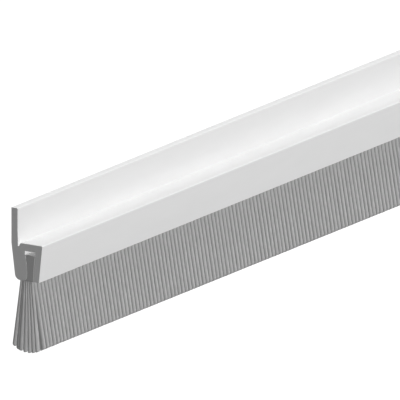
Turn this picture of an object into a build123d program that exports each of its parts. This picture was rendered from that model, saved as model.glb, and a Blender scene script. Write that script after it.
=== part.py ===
from build123d import *
import math
import os

# Door seal strip: an extruded carrier with a fixing flange, and a brush held in its channel.
# Sizes are in millimetres. In the cross-section, "forward" is measured from the fixing face
# towards the room and "drop" is measured down from the flange's top edge.

# Length of the strip, and the spacing of the bristle tufts along it
strip_length = 1000.0
tuft_pitch = 1.62

# Fixing flange, the thin upright wall that lies against the door
flange_thickness = 1.82
flange_root_thickness = 1.92
flange_straight_height = 5.5
flange_edge_radius = 0.35
fixing_height = 9.1

# Body, the stepped block in front of and below the flange
step_drop = 8.87
body_depth = 9.15
carrier_height = 18.48
roof_thickness = 1.85
front_taper = 6.0
back_taper = 7.4
front_edge_radius = 0.3
back_foot_radius = 1.5
mouth_radius = 1.2

# Groove between the flange and the body
groove_width = 0.43
groove_depth = 0.85
shoulder_radius = 0.75

# Channel that grips the brush, wide at its top and narrow at its neck
channel_centre = 5.55
channel_width = 2.77
neck_width = 1.91
neck_height = 2.48
slot_width = 3.14
slot_height = 1.0

# Brush: a backing bar in the channel, and the fan of bristles below it
channel_clearance = 0.03
bristle_length = 18.62
fan_width = 3.65
back_splay = 8.55
front_splay = 7.8
front_tip_rise = 1.3
back_tip_rise = 1.75
row_count = 7
tuft_relief = 0.4

# Places worked out from the sizes above
body_front = body_depth
foot_front = body_depth - (carrier_height - step_drop) * math.tan(math.radians(front_taper))
foot_back = (carrier_height - fixing_height) * math.tan(math.radians(back_taper))
groove_front = flange_root_thickness + groove_width
groove_drop = step_drop + groove_depth
slot_drop = step_drop + roof_thickness
channel_drop = slot_drop + slot_height
neck_drop = carrier_height - neck_height
neck_back = channel_centre - neck_width / 2
neck_front = channel_centre + neck_width / 2
tip_drop = carrier_height + bristle_length
front_tip_drop = tip_drop - front_tip_rise
back_tip_drop = tip_drop - back_tip_rise
fan_end = strip_length / 2 - tuft_relief
tuft_count = round(strip_length / tuft_pitch)

# The cross-section is drawn at the +X end, with its own x axis pointing forward
section = Plane(
    origin=(strip_length / 2, 0, fixing_height / 2),
    x_dir=(0, -1, 0),
    z_dir=(-1, 0, 0),
)


def at(forward, drop):
    """A point of the cross-section."""
    return (forward, -drop)


def closed_face(points):
    return make_face(Polyline(*[at(*point) for point in points], close=True))


def rounded(face, corners):
    """Rounds the corners of a face. Each entry is a corner's forward, drop and radius."""
    for forward, drop, radius in corners:
        nearest = face.vertices().sort_by_distance(at(forward, drop))[0]
        face = fillet(nearest, radius)
    return face


def run_length(face):
    """Carries a cross-section along the whole strip."""
    return extrude(section * face, strip_length)


def carrier_profile():
    """One extrusion: flange, groove, body, and two legs with the brush channel between them."""
    outline = closed_face(
        [
            (0, 0),
            (flange_thickness, 0),
            (flange_thickness, flange_straight_height),
            (flange_root_thickness, groove_drop),
            (groove_front, groove_drop),
            (groove_front, step_drop),
            (body_front, step_drop),
            (foot_front, carrier_height),
            (neck_front, carrier_height),
            (neck_front, neck_drop),
            (channel_centre + channel_width / 2, channel_drop),
            (channel_centre + slot_width / 2, channel_drop),
            (channel_centre + slot_width / 2, slot_drop),
            (channel_centre - slot_width / 2, slot_drop),
            (channel_centre - slot_width / 2, channel_drop),
            (channel_centre - channel_width / 2, channel_drop),
            (neck_back, neck_drop),
            (neck_back, carrier_height),
            (foot_back, carrier_height),
            (0, fixing_height),
        ]
    )
    outline = rounded(
        outline,
        [
            (flange_thickness, 0, flange_edge_radius),
            (groove_front, step_drop, shoulder_radius),
            (body_front, step_drop, front_edge_radius),
            (neck_back, carrier_height, mouth_radius),
            (foot_back, carrier_height, back_foot_radius),
        ],
    )
    return run_length(outline)


def brush_backing():
    """The bar that the bristles are set in. It fills the channel and flares over the mouth's rounding."""
    half_top = channel_width / 2 - channel_clearance
    back = neck_back + channel_clearance
    front = neck_front - channel_clearance
    flare = mouth_radius + channel_clearance
    flare_start = carrier_height - mouth_radius
    flare_reach = math.sqrt(flare**2 - mouth_radius**2)
    flare_end = neck_back - mouth_radius + flare_reach
    sides = Polyline(
        at(back, flare_start),
        at(back, neck_drop),
        at(channel_centre - half_top, channel_drop),
        at(channel_centre + half_top, channel_drop),
        at(front, neck_drop),
        at(front, carrier_height),
        at(flare_end, carrier_height),
    )
    mouth = RadiusArc(at(flare_end, carrier_height), at(back, flare_start), -flare)
    return run_length(make_face([*sides.edges(), mouth]))


def front_edge(drop):
    """Where the fan's front side lies at one height."""
    return neck_front + (drop - carrier_height) * math.tan(math.radians(front_splay))


def back_edge(drop):
    """Where the fan's back side lies at one height."""
    return neck_front - fan_width - (drop - carrier_height) * math.tan(math.radians(back_splay))


def fan_section():
    """The fan's cross-section, with its rounded crown of tips."""
    crown_centre = (front_edge(carrier_height) + back_edge(carrier_height)) / 2
    front_tip = at(front_edge(front_tip_drop), front_tip_drop)
    back_tip = at(back_edge(back_tip_drop), back_tip_drop)
    sides = Polyline(
        back_tip,
        at(back_edge(carrier_height), carrier_height),
        at(front_edge(carrier_height), carrier_height),
        front_tip,
    )
    crown = ThreePointArc(front_tip, at(crown_centre, tip_drop), back_tip)
    return make_face([*sides.edges(), crown])


def core_section():
    """What is left of the fan's cross-section between its two outer rows."""
    inset = 2 * tuft_relief
    below_tips = tip_drop + tuft_relief
    between = closed_face(
        [
            (back_edge(carrier_height) + inset, carrier_height),
            (front_edge(carrier_height) - inset, carrier_height),
            (front_edge(below_tips) - inset, below_tips),
            (back_edge(below_tips) + inset, below_tips),
        ]
    )
    return fan_section() & between


def side_tufts(edge, facing, splay, last_drop):
    """The outer row of tufts on one side: a slanted slab with an upright ridge for each tuft."""
    valley = edge - facing * tuft_relief
    base = valley - facing * tuft_relief
    spacing = 2 * fan_end / tuft_count
    points = [(-fan_end, -base)]
    for tuft in range(tuft_count):
        start = tuft * spacing - fan_end
        points += [(start, -valley), (start + spacing / 2, -edge)]
    points += [(fan_end, -valley), (fan_end, -base)]
    outline = Pos(0, 0, fixing_height / 2 - carrier_height) * make_face(Polyline(*points, close=True))
    lean = math.radians(splay)
    downwards = Vector(0, -facing * math.sin(lean), -math.cos(lean))
    return extrude(outline, (last_drop - carrier_height) / math.cos(lean), dir=downwards)


def end_tufts():
    """The last tuft of every row, as ridges on the fan's end face that spread downwards like the rows."""
    below_tips = tip_drop + tuft_relief
    ridges = []
    for row in range(row_count):
        rings = []
        for drop in (carrier_height, below_tips):
            back = back_edge(drop) + tuft_relief
            width = (front_edge(drop) - tuft_relief - back) / row_count
            height = fixing_height / 2 - drop
            valleys = [(fan_end, -back - width * side, height) for side in (row, row + 1)]
            crest = (strip_length / 2, -back - width * (row + 0.5), height)
            rings.append(Wire.make_polygon([valleys[0], crest, valleys[1]]))
        ridges.append(Solid.make_loft(rings, ruled=True))
    return Part() + ridges


def bristles():
    """The bristle tufts as one fan, ridged tuft by tuft, that widens downwards to a rounded crown."""
    core = extrude(section.offset(tuft_relief) * core_section(), 2 * fan_end)
    fan = core + side_tufts(front_edge(carrier_height), 1, front_splay, front_tip_drop)
    fan += side_tufts(back_edge(carrier_height), -1, back_splay, back_tip_drop)
    ends = end_tufts() & run_length(fan_section())
    return fan + ends + mirror(ends, Plane.YZ)


parts = {
    "carrier_profile": carrier_profile(),
    "brush_backing": brush_backing(),
    "bristles": bristles(),
}

os.makedirs("parts", exist_ok=True)
for name, part in parts.items():
    export_step(part, f"parts/{name}.step")
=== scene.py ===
import math
import random

import bpy
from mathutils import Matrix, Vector

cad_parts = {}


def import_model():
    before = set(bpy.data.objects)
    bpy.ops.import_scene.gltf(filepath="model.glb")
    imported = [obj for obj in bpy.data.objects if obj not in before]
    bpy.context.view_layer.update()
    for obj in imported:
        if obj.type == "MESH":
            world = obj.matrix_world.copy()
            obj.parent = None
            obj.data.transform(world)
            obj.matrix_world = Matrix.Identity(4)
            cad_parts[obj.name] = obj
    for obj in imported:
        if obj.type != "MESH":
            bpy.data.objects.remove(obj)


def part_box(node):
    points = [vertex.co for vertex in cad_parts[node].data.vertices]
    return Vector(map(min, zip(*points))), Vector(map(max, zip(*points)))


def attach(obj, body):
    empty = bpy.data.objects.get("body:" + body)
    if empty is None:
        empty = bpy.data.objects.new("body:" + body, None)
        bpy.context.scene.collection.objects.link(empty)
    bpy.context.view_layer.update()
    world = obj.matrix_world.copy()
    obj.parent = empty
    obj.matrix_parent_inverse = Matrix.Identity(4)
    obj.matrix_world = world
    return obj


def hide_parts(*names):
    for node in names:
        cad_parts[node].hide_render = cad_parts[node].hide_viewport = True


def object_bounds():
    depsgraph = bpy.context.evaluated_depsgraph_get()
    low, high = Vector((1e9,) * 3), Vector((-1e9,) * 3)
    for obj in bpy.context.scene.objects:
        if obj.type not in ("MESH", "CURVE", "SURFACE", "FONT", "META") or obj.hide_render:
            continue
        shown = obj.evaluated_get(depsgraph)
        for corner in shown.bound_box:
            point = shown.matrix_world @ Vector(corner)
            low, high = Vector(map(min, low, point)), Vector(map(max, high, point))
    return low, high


# Door brush seal strip: a white extruded carrier, a grey backing bar, and rows of grey bristle tufts.
# Lengths are in metres, and the angles named here in degrees. X runs along the strip, -Y faces the room
# and +Z is up. In the cross-section, forward is measured from the fixing face towards the room, and drop
# is measured down from the flange's top edge.

MM = 0.001

# The camera's parallel view: its angles, its width, how near and far it sees, and the point at the middle
# of the picture
CAMERA_AZIMUTH = -57.6
CAMERA_ELEVATION = 14.9
CAMERA_WIDTH = 100.0 * MM
CAMERA_DISTANCE = 0.5
NEAREST_SEEN = 0.01
FURTHEST_SEEN = 50.0
VIEW_FROM_END = 88.0 * MM
VIEW_HEIGHT = -13.35 * MM

# Fixing flange, the thin upright wall that lies against the door
FLANGE_THICKNESS = 1.82 * MM
FLANGE_ROOT_THICKNESS = 1.92 * MM
FLANGE_STRAIGHT_HEIGHT = 5.5 * MM
FLANGE_EDGE_RADIUS = 0.35 * MM
FIXING_HEIGHT = 9.1 * MM

# Body, the stepped block in front of and below the flange
STEP_DROP = 8.87 * MM
BODY_DEPTH = 9.15 * MM
CARRIER_HEIGHT = 18.48 * MM
ROOF_THICKNESS = 1.85 * MM
FRONT_TAPER = 6.0
BACK_TAPER = 7.4
FRONT_EDGE_RADIUS = 0.3 * MM
BACK_FOOT_RADIUS = 1.5 * MM
MOUTH_RADIUS = 1.2 * MM

# Groove between the flange and the body
GROOVE_WIDTH = 0.43 * MM
GROOVE_DEPTH = 0.85 * MM
SHOULDER_RADIUS = 0.75 * MM

# Channel that grips the brush, wide at its top and narrow at its neck, and the room round the backing bar
CHANNEL_CENTRE = 5.55 * MM
CHANNEL_WIDTH = 2.77 * MM
NECK_WIDTH = 1.91 * MM
NECK_HEIGHT = 2.48 * MM
SLOT_WIDTH = 3.14 * MM
SLOT_HEIGHT = 1.0 * MM
CHANNEL_CLEARANCE = 0.03 * MM

# The fan of tufts: its rows, its width at the mouth, how far it splays, and its rounded crown of tips
ROW_COUNT = 7
TUFT_PITCH = 1.62 * MM
FAN_MOUTH_WIDTH = 3.9 * MM
FRONT_SPLAY = 7.8
BACK_SPLAY = 8.6
FRONT_TIP_RISE = 1.4 * MM
BACK_TIP_RISE = 1.75 * MM

# The tufts of the two outer rows: their half depth, and the share of its pitch that each one fills
OUTER_HALF_DEPTH = 0.75 * MM
OUTER_FILL = 0.84

# How many pitches from the strip's near end the first leaning tuft stands
OUTER_START = 0.7
INNER_START = 1.5

# The tufts at the strip's ends, from back to front. Each has its middle and its depth as shares of the
# fan's width. They merge at the mouth, where their fill is above 1, and stand apart at the tips. The
# higher the power, the sooner they part.
END_TUFTS = (
    (0.05, 0.15),
    (0.2, 0.18),
    (0.27, 0.18),
    (0.42, 0.14),
    (0.56, 0.13),
    (0.69, 0.135),
    (0.82, 0.135),
)
END_MOUTH_FILL = 1.5
END_TIP_FILL = 0.74
END_FILL_POWER = 3

# How tufts lean along the strip, and at most how far their tips stray and fall short of the crown
TUFT_LEAN = 3.0
TUFT_SPREAD = 0.03 * MM
TUFT_SHORTFALL = 0.03 * MM
RANDOM_SEED = 7

# One tuft's mesh: its sides, its upper ring as a share of its length, and its worn tip's height and scale
TUFT_SIDES = 12
UPPER_RING = 0.3
TIP_WEAR = 0.3 * MM
TIP_SCALE = 0.8

# Steps in each rounded corner, and the angle above which an edge stays sharp
ARC_STEPS = 10
SHARP_ANGLE = 20.0

# The floor lies well below the strip, which is fixed to a door in use. Its grey takes the shadow, and its
# glow, which only the camera and reflections see, makes it look white.
FLOOR_DROP = 0.30
FLOOR_SIZE = 60.0
FLOOR_GREY = 0.3
FLOOR_GLOW = 0.8


def node_material(name):
    """A material with only a shader and an output. Returns the material, its node tree and the shader."""
    material = bpy.data.materials.new(name)
    material.use_nodes = True
    tree = material.node_tree
    tree.nodes.clear()
    output = tree.nodes.new("ShaderNodeOutputMaterial")
    shader = tree.nodes.new("ShaderNodeBsdfPrincipled")
    tree.links.new(shader.outputs["BSDF"], output.inputs["Surface"])
    return material, tree, shader


def stretched_noise(tree, scale, detail):
    """Noise in object coordinates, with its own scale along each axis. Returns its value."""
    place = tree.nodes.new("ShaderNodeTexCoord")
    mapping = tree.nodes.new("ShaderNodeMapping")
    mapping.inputs["Scale"].default_value = scale
    noise = tree.nodes.new("ShaderNodeTexNoise")
    noise.inputs["Scale"].default_value = 1.0
    noise.inputs["Detail"].default_value = detail
    tree.links.new(place.outputs["Object"], mapping.inputs["Vector"])
    tree.links.new(mapping.outputs["Vector"], noise.inputs["Vector"])
    return noise.outputs["Fac"]


def ranged(tree, value, low, high):
    """Carries a value from 0..1 to low..high."""
    remap = tree.nodes.new("ShaderNodeMapRange")
    remap.inputs["To Min"].default_value = low
    remap.inputs["To Max"].default_value = high
    tree.links.new(value, remap.inputs["Value"])
    return remap.outputs["Result"]


def grey(tree, value):
    """A grey colour whose three parts are one value."""
    combine = tree.nodes.new("ShaderNodeCombineColor")
    for part in ("Red", "Green", "Blue"):
        tree.links.new(value, combine.inputs[part])
    return combine.outputs["Color"]


def bump(tree, shader, value, distance, strength):
    """Raises the surface slightly where the value is high."""
    node = tree.nodes.new("ShaderNodeBump")
    node.inputs["Distance"].default_value = distance
    node.inputs["Strength"].default_value = strength
    tree.links.new(value, node.inputs["Height"])
    tree.links.new(node.outputs["Normal"], shader.inputs["Normal"])


def carrier_plastic():
    """White extruded plastic: faint die lines along the strip and a slightly uneven tone."""
    material, tree, shader = node_material("carrier_plastic")
    die_lines = stretched_noise(tree, scale=(4.0, 2600.0, 2600.0), detail=3.0)
    clouds = stretched_noise(tree, scale=(60.0, 220.0, 220.0), detail=2.0)
    tone = ranged(tree, clouds, low=0.80, high=0.84)
    tree.links.new(grey(tree, tone), shader.inputs["Base Color"])
    tree.links.new(ranged(tree, die_lines, low=0.42, high=0.58), shader.inputs["Roughness"])
    shader.inputs["Specular IOR Level"].default_value = 0.25
    bump(tree, shader, die_lines, distance=0.03 * MM, strength=0.25)
    return material


def backing_plastic():
    """Dull grey plastic, with a fine grain from the filaments fused into it."""
    material, tree, shader = node_material("backing_plastic")
    grain = stretched_noise(tree, scale=(900.0, 5200.0, 5200.0), detail=2.0)
    tone = ranged(tree, grain, low=0.53, high=0.67)
    tree.links.new(grey(tree, tone), shader.inputs["Base Color"])
    tree.links.new(ranged(tree, grain, low=0.55, high=0.75), shader.inputs["Roughness"])
    shader.inputs["Specular IOR Level"].default_value = 0.2
    bump(tree, shader, grain, distance=0.05 * MM, strength=0.3)
    return material


def bristle_fibre():
    """Grey synthetic bristle: fine filaments run down each tuft, and tufts differ a little in tone."""
    material, tree, shader = node_material("bristle_fibre")
    filaments = stretched_noise(tree, scale=(5200.0, 5200.0, 60.0), detail=3.0)
    patches = stretched_noise(tree, scale=(320.0, 320.0, 12.0), detail=1.0)
    tone = tree.nodes.new("ShaderNodeMath")
    tone.operation = "ADD"
    tree.links.new(ranged(tree, filaments, low=0.33, high=0.65), tone.inputs[0])
    tree.links.new(ranged(tree, patches, low=-0.015, high=0.015), tone.inputs[1])
    tree.links.new(grey(tree, tone.outputs["Value"]), shader.inputs["Base Color"])
    tree.links.new(ranged(tree, filaments, low=0.45, high=0.65), shader.inputs["Roughness"])
    shader.inputs["Specular IOR Level"].default_value = 0.25
    bump(tree, shader, filaments, distance=0.08 * MM, strength=0.6)
    return material


def arc(centre, radius, first, turn):
    """Points along an arc that starts at one angle and turns by another, both in radians."""
    angles = [first + turn * step / ARC_STEPS for step in range(ARC_STEPS + 1)]
    return [centre + Vector((math.cos(angle), math.sin(angle))) * radius for angle in angles]


def rounded_outline(corners):
    """A closed outline's points, from its corners' places and radii. A rounded corner becomes an arc."""
    points = []
    for index, (forward, drop, radius) in enumerate(corners):
        corner = Vector((forward, drop))
        if radius == 0:
            points.append(corner)
            continue
        before = (Vector(corners[index - 1][:2]) - corner).normalized()
        after = (Vector(corners[(index + 1) % len(corners)][:2]) - corner).normalized()
        half_angle = before.angle(after) / 2
        centre = corner + (before + after).normalized() * radius / math.sin(half_angle)
        start = corner + before * radius / math.tan(half_angle) - centre
        end = corner + after * radius / math.tan(half_angle) - centre
        first = math.atan2(start.y, start.x)
        turn = math.remainder(math.atan2(end.y, end.x) - first, 2 * math.pi)
        points += arc(centre, radius, first, turn)
    return points


def carrier_outline():
    """Flange, groove, body, and two legs with the brush channel between them."""
    foot_front = BODY_DEPTH - (CARRIER_HEIGHT - STEP_DROP) * math.tan(math.radians(FRONT_TAPER))
    foot_back = (CARRIER_HEIGHT - FIXING_HEIGHT) * math.tan(math.radians(BACK_TAPER))
    groove_front = FLANGE_ROOT_THICKNESS + GROOVE_WIDTH
    groove_drop = STEP_DROP + GROOVE_DEPTH
    slot_drop = STEP_DROP + ROOF_THICKNESS
    channel_drop = slot_drop + SLOT_HEIGHT
    neck_drop = CARRIER_HEIGHT - NECK_HEIGHT
    neck_back = CHANNEL_CENTRE - NECK_WIDTH / 2
    neck_front = CHANNEL_CENTRE + NECK_WIDTH / 2
    return rounded_outline(
        [
            (0, 0, 0),
            (FLANGE_THICKNESS, 0, FLANGE_EDGE_RADIUS),
            (FLANGE_THICKNESS, FLANGE_STRAIGHT_HEIGHT, 0),
            (FLANGE_ROOT_THICKNESS, groove_drop, 0),
            (groove_front, groove_drop, 0),
            (groove_front, STEP_DROP, SHOULDER_RADIUS),
            (BODY_DEPTH, STEP_DROP, FRONT_EDGE_RADIUS),
            (foot_front, CARRIER_HEIGHT, 0),
            (neck_front, CARRIER_HEIGHT, 0),
            (neck_front, neck_drop, 0),
            (CHANNEL_CENTRE + CHANNEL_WIDTH / 2, channel_drop, 0),
            (CHANNEL_CENTRE + SLOT_WIDTH / 2, channel_drop, 0),
            (CHANNEL_CENTRE + SLOT_WIDTH / 2, slot_drop, 0),
            (CHANNEL_CENTRE - SLOT_WIDTH / 2, slot_drop, 0),
            (CHANNEL_CENTRE - SLOT_WIDTH / 2, channel_drop, 0),
            (CHANNEL_CENTRE - CHANNEL_WIDTH / 2, channel_drop, 0),
            (neck_back, neck_drop, 0),
            (neck_back, CARRIER_HEIGHT, MOUTH_RADIUS),
            (foot_back, CARRIER_HEIGHT, BACK_FOOT_RADIUS),
            (0, FIXING_HEIGHT, 0),
        ]
    )


def backing_outline():
    """The bar that the bristles are set in. It fills the channel and flares over the mouth's rounding."""
    half_top = CHANNEL_WIDTH / 2 - CHANNEL_CLEARANCE
    channel_drop = STEP_DROP + ROOF_THICKNESS + SLOT_HEIGHT
    neck_drop = CARRIER_HEIGHT - NECK_HEIGHT
    back = CHANNEL_CENTRE - NECK_WIDTH / 2 + CHANNEL_CLEARANCE
    front = CHANNEL_CENTRE + NECK_WIDTH / 2 - CHANNEL_CLEARANCE
    flare = MOUTH_RADIUS + CHANNEL_CLEARANCE
    flare_centre = Vector((back - flare, CARRIER_HEIGHT - MOUTH_RADIUS))
    flare_end = math.asin(MOUTH_RADIUS / flare)
    sides = [
        (back, neck_drop),
        (CHANNEL_CENTRE - half_top, channel_drop),
        (CHANNEL_CENTRE + half_top, channel_drop),
        (front, neck_drop),
        (front, CARRIER_HEIGHT),
    ]
    return [Vector(point) for point in sides] + arc(flare_centre, flare, flare_end, -flare_end)


def dress(name, vertices, faces, material, node):
    """Makes one piece that rides on the strip and stands in for a node of the frame."""
    mesh = bpy.data.meshes.new(name)
    mesh.from_pydata(vertices, [], faces)
    mesh.update()
    mesh.materials.append(material)
    # Only the sides have four corners. They are shaded smooth, and the end faces flat.
    for polygon in mesh.polygons:
        polygon.use_smooth = len(polygon.vertices) == 4
    piece = bpy.data.objects.new(name, mesh)
    bpy.context.collection.objects.link(piece)
    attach(piece, "root")
    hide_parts(node)
    return mesh


def extrusion(name, outline, material, node):
    """One piece with the same cross-section all along the strip."""
    low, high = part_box(node)
    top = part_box("carrier_profile")[1].z
    count = len(outline)
    vertices = [(x, -point.x, top - point.y) for x in (low.x, high.x) for point in outline]
    faces = [(i, (i + 1) % count, count + (i + 1) % count, count + i) for i in range(count)]
    faces += [tuple(range(count - 1, -1, -1)), tuple(range(count, 2 * count))]
    mesh = dress(name, vertices, faces, material, node)
    mesh.set_sharp_from_angle(angle=math.radians(SHARP_ANGLE))


def circle_through(a, b, c):
    """The centre and radius of the circle through three points of a plane."""
    divisor = 2 * (a[0] * (b[1] - c[1]) + b[0] * (c[1] - a[1]) + c[0] * (a[1] - b[1]))
    squares = [point[0] ** 2 + point[1] ** 2 for point in (a, b, c)]
    x = (squares[0] * (b[1] - c[1]) + squares[1] * (c[1] - a[1]) + squares[2] * (a[1] - b[1])) / divisor
    y = (squares[0] * (c[0] - b[0]) + squares[1] * (a[0] - c[0]) + squares[2] * (b[0] - a[0])) / divisor
    return (x, y), math.hypot(a[0] - x, a[1] - y)


class Fan:
    """The fan's cross-section. Here drop is measured down from the mouth."""

    def __init__(self, lowest, highest):
        self.mouth_height = highest.z
        self.length = highest.z - lowest.z
        self.mouth_front = CHANNEL_CENTRE + NECK_WIDTH / 2
        self.mouth_back = self.mouth_front - FAN_MOUTH_WIDTH
        self.front_tip_drop = self.length - FRONT_TIP_RISE
        back_tip_drop = self.length - BACK_TIP_RISE
        front_tip = (self.front(self.front_tip_drop), self.front_tip_drop)
        back_tip = (self.back(back_tip_drop), back_tip_drop)
        crown = (self.mouth_back + FAN_MOUTH_WIDTH / 2, self.length)
        self.centre, self.radius = circle_through(back_tip, crown, front_tip)

    def front(self, drop):
        """Where the fan's front side lies at one height."""
        return self.mouth_front + drop * math.tan(math.radians(FRONT_SPLAY))

    def back(self, drop):
        """Where the fan's back side lies at one height."""
        return self.mouth_back - drop * math.tan(math.radians(BACK_SPLAY))

    def tip_drop(self, forward):
        """How far down the tips reach at one distance forward."""
        reach = math.sqrt(self.radius**2 - (forward - self.centre[0]) ** 2)
        return min(self.centre[1] + reach, self.length)

    def end_tuft(self, row, drop):
        """The middle and the half depth of a tuft at the strip's end."""
        width = self.front(drop) - self.back(drop)
        middle, depth = END_TUFTS[row]
        merging = (1 - drop / self.length) ** END_FILL_POWER
        fill = END_TIP_FILL + (END_MOUTH_FILL - END_TIP_FILL) * merging
        return self.back(drop) + width * middle, width * depth / 2 * fill

    def inside_tuft(self, row, drop):
        """The middle and the half depth of a tuft between the strip's ends."""
        half = (self.front(drop) - self.back(drop)) / ROW_COUNT / 2
        outer_half = max(half, OUTER_HALF_DEPTH)
        if row == 0:
            return self.back(drop) + outer_half, outer_half
        if row == ROW_COUNT - 1:
            return self.front(drop) - outer_half, outer_half
        return self.back(drop) + (2 * row + 1) * half, half


class Row:
    """One lengthwise row of tufts, gathered into one mesh."""

    def __init__(self, fan, index):
        self.fan = fan
        self.index = index
        self.rng = random.Random(RANDOM_SEED + index)
        self.vertices = []
        self.faces = []

    def add_tuft(self, x, half_length, section, lean, spread):
        """Adds an oval rod from the mouth down, cut along the fan's crown. The section is the fan's end_tuft
        or inside_tuft. The lean is a slope along the strip, and the tip strays along it by the spread."""
        shortfall = self.rng.uniform(0, TUFT_SHORTFALL)
        sway_x = self.rng.uniform(-spread, spread)
        sway_y = self.rng.uniform(-TUFT_SPREAD, TUFT_SPREAD)
        start = len(self.vertices)
        tip_middle, tip_half_depth = section(self.index, self.fan.front_tip_drop)
        # Each ring has its share of the way down and its scale. The last three keep the wear near the tip.
        wear = TIP_WEAR / self.fan.length
        rings = [(0.0, 1.0), (UPPER_RING, 1.0), (1.0 - 2 * wear, 1.0), (1.0 - wear, 1.0), (1.0, TIP_SCALE)]
        for share, scale in rings:
            for side in range(TUFT_SIDES):
                angle = 2 * math.pi * side / TUFT_SIDES
                along = scale * math.cos(angle)
                across = -scale * math.sin(angle)
                drop = share * (self.fan.tip_drop(tip_middle + tip_half_depth * across) - shortfall)
                middle, half_depth = section(self.index, drop)
                forward = middle + half_depth * across + sway_y * share
                place_x = x + sway_x * share + lean * drop + half_length * along
                self.vertices.append((place_x, -forward, self.fan.mouth_height - drop))
        self.close_tuft(start, len(rings))

    def close_tuft(self, start, ring_count):
        """Adds the sides between a tuft's rings, its cut tip and its top."""
        for ring in range(ring_count - 1):
            for side in range(TUFT_SIDES):
                a = start + ring * TUFT_SIDES + side
                b = start + ring * TUFT_SIDES + (side + 1) % TUFT_SIDES
                self.faces.append((a, a + TUFT_SIDES, b + TUFT_SIDES, b))
        last = start + (ring_count - 1) * TUFT_SIDES
        self.faces.append(tuple(last + side for side in range(TUFT_SIDES - 1, -1, -1)))
        self.faces.append(tuple(start + side for side in range(TUFT_SIDES)))


def bristle_row(fan, index, first, last, material):
    """One row as one piece: an upright tuft at each end of the strip, and leaning tufts between them."""
    count = round((last - first) / TUFT_PITCH)
    pitch = (last - first) / count
    row = Row(fan, index)
    for x in (first + pitch / 2, last - pitch / 2):
        row.add_tuft(x, pitch / 2, fan.end_tuft, lean=0.0, spread=0.0)
    if index in (0, ROW_COUNT - 1):
        # The leaning tufts stop short of the far end, so an outer row has a deep upright one there too
        row.add_tuft(last - pitch / 2, pitch / 2 * OUTER_FILL, fan.inside_tuft, lean=0.0, spread=0.0)
        begin, fill, leaning_count = OUTER_START, OUTER_FILL, count - 1
    else:
        begin, fill, leaning_count = INNER_START, 1.0, count - 2
    slope = math.tan(math.radians(TUFT_LEAN))
    for tuft in range(leaning_count):
        x = first + (tuft + begin) * pitch
        row.add_tuft(x, pitch / 2 * fill, fan.inside_tuft, lean=slope, spread=TUFT_SPREAD)
    dress(f"bristle_row_{index + 1}", row.vertices, row.faces, material, "bristles")


def floor_material():
    """A pale floor that reads as white to the camera and still takes the strip's shadow."""
    material = bpy.data.materials.new("pale_floor")
    material.use_nodes = True
    tree = material.node_tree
    tree.nodes.clear()
    output = tree.nodes.new("ShaderNodeOutputMaterial")
    diffuse = tree.nodes.new("ShaderNodeBsdfDiffuse")
    diffuse.inputs["Color"].default_value = (FLOOR_GREY, FLOOR_GREY, FLOOR_GREY, 1.0)
    glow = tree.nodes.new("ShaderNodeEmission")
    path = tree.nodes.new("ShaderNodeLightPath")
    seen = tree.nodes.new("ShaderNodeMath")
    seen.operation = "MAXIMUM"
    tree.links.new(path.outputs["Is Camera Ray"], seen.inputs[0])
    tree.links.new(path.outputs["Is Glossy Ray"], seen.inputs[1])
    level = tree.nodes.new("ShaderNodeMath")
    level.operation = "MULTIPLY"
    level.inputs[1].default_value = FLOOR_GLOW
    tree.links.new(seen.outputs["Value"], level.inputs[0])
    tree.links.new(level.outputs["Value"], glow.inputs["Strength"])
    both = tree.nodes.new("ShaderNodeAddShader")
    tree.links.new(diffuse.outputs["BSDF"], both.inputs[0])
    tree.links.new(glow.outputs["Emission"], both.inputs[1])
    tree.links.new(both.outputs["Shader"], output.inputs["Surface"])
    return material


def floor(height):
    """A wide flat floor under the strip."""
    half = FLOOR_SIZE / 2
    mesh = bpy.data.meshes.new("floor")
    corners = [(-half, -half, height), (half, -half, height), (half, half, height), (-half, half, height)]
    mesh.from_pydata(corners, [], [(0, 1, 2, 3)])
    mesh.materials.append(floor_material())
    piece = bpy.data.objects.new("floor", mesh)
    bpy.context.collection.objects.link(piece)


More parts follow.
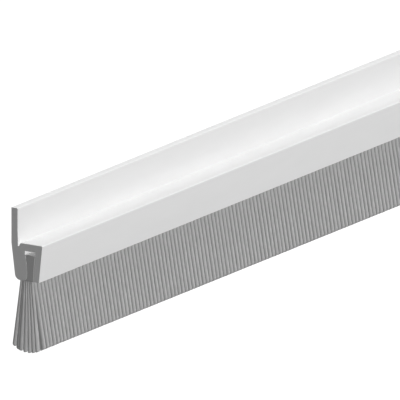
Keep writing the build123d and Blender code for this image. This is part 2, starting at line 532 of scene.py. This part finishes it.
def world(ambient):
    """Even light from all round, which the camera sees as white."""
    sky = bpy.data.worlds.new("studio")
    bpy.context.scene.world = sky
    sky.use_nodes = True
    tree = sky.node_tree
    tree.nodes.clear()
    output = tree.nodes.new("ShaderNodeOutputWorld")
    background = tree.nodes.new("ShaderNodeBackground")
    path = tree.nodes.new("ShaderNodeLightPath")
    strength = ranged(tree, path.outputs["Is Camera Ray"], low=ambient, high=1.0)
    tree.links.new(strength, background.inputs["Strength"])
    tree.links.new(background.outputs["Background"], output.inputs["Surface"])


def soft_sun(name, towards, level, softness, shadows=True):
    """A soft lamp far away, where towards points from the strip. Level is the light on a face square to
    it, where 1 shows a colour as written."""
    lamp = bpy.data.lights.new(name, "SUN")
    lamp.use_shadow = shadows
    lamp.energy = level * math.pi
    lamp.angle = math.radians(softness)
    piece = bpy.data.objects.new(name, lamp)
    bpy.context.collection.objects.link(piece)
    piece.rotation_euler = Vector(towards).to_track_quat("Z", "Y").to_euler()


def camera(target):
    """A parallel view from the front left, a little above the strip."""
    azimuth, elevation = math.radians(CAMERA_AZIMUTH), math.radians(CAMERA_ELEVATION)
    back = Vector(
        (
            math.sin(azimuth) * math.cos(elevation),
            -math.cos(azimuth) * math.cos(elevation),
            math.sin(elevation),
        )
    )
    data = bpy.data.cameras.new("camera")
    data.type = "ORTHO"
    data.ortho_scale = CAMERA_WIDTH
    data.clip_start = NEAREST_SEEN
    data.clip_end = FURTHEST_SEEN
    piece = bpy.data.objects.new("camera", data)
    bpy.context.collection.objects.link(piece)
    piece.location = target + back * CAMERA_DISTANCE
    piece.rotation_euler = (-back).to_track_quat("-Z", "Y").to_euler()
    bpy.context.scene.camera = piece


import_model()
cad_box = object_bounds()

extrusion("carrier", carrier_outline(), carrier_plastic(), "carrier_profile")
extrusion("backing", backing_outline(), backing_plastic(), "brush_backing")

fan_low, fan_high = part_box("bristles")
fan = Fan(fan_low, fan_high)
fibre = bristle_fibre()
for index in range(ROW_COUNT):
    bristle_row(fan, index, fan_low.x, fan_high.x, fibre)

floor(cad_box[0].z - FLOOR_DROP)
world(ambient=0.22)
soft_sun("top_light", towards=(0.2, -0.08, 0.97), level=0.5, softness=35.0)
soft_sun("front_light", towards=(0.17, -0.93, 0.36), level=0.6, softness=30.0, shadows=False)
soft_sun("back_light", towards=(0.5, 0.75, 0.35), level=0.4, softness=20.0)
camera(Vector((cad_box[0].x + VIEW_FROM_END, 0.0, VIEW_HEIGHT)))
bpy.context.scene.view_settings.view_transform = "Standard"
